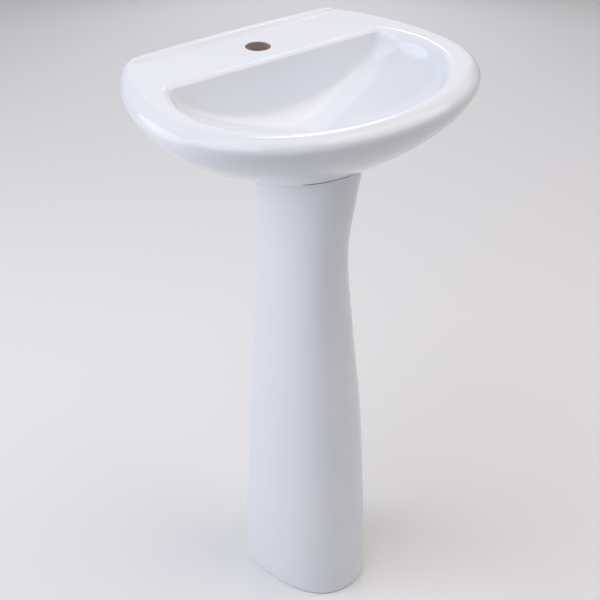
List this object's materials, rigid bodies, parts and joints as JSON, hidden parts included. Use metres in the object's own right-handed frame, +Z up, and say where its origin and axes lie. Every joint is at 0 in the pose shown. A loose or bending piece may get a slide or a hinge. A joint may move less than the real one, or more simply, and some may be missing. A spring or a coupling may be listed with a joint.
{
  "type": "pedestal sink",
  "caption": "White glazed pedestal sink: D-shaped basin with a low rear ledge and a single tap hole on a hollow waisted pedestal, with push waste and trap.",
  "frame": {"origin": "centre of the footprint box, on the floor under the pedestal", "axes": "+Z up, +Y towards the wall at the basin's back, -Y towards the user, +X to the right as the user faces the wall"},
  "size_m": [0.48, 0.366, 0.862],
  "materials": {
    "glazed_china": "clear gloss glaze over white vitreous china",
    "chrome_plate": "bright chrome plate on brass",
    "brass": "machined, unplated",
    "zinc_steel": "bright zinc plate",
    "black_rubber": "matt",
    "grey_rubber": "matt",
    "white_plastic": "moulded"
  },
  "bodies": {
    "sink": {"basin": "glazed_china", "pedestal": "glazed_china", "pedestal_pad_left": "grey_rubber", "pedestal_pad_right": "grey_rubber", "pedestal_pad_front": "grey_rubber", "drain_body": "chrome_plate", "flange_seal": "black_rubber", "cone_washer": "black_rubber", "slip_ring": "white_plastic", "drain_lock_nut": "brass", "plug_cartridge": "brass", "plug_spring": "zinc_steel", "tailpiece": "chrome_plate", "trap_inlet_nut": "chrome_plate", "trap_inlet_washer": "grey_rubber", "trap_bend": "chrome_plate", "trap_outlet_nut": "chrome_plate", "trap_outlet_washer": "grey_rubber", "wall_stud_left": "zinc_steel", "wall_washer_left": "zinc_steel", "wall_nut_left": "zinc_steel", "wall_stud_right": "zinc_steel", "wall_washer_right": "zinc_steel", "wall_nut_right": "zinc_steel", "floor_screw": "zinc_steel", "floor_washer": "white_plastic", "floor_screw_cap": "white_plastic"},
    "plug": {"plug_cap": "chrome_plate", "plug_seal": "black_rubber", "plug_stem": "brass"}
  },
  "joints": [
    {"name": "plug_lift", "type": "slide", "parent": "sink", "child": "plug", "axis": [0, 0, 1], "range_m": [0, 0.009], "deforming": ["plug_spring"]}
  ]
}
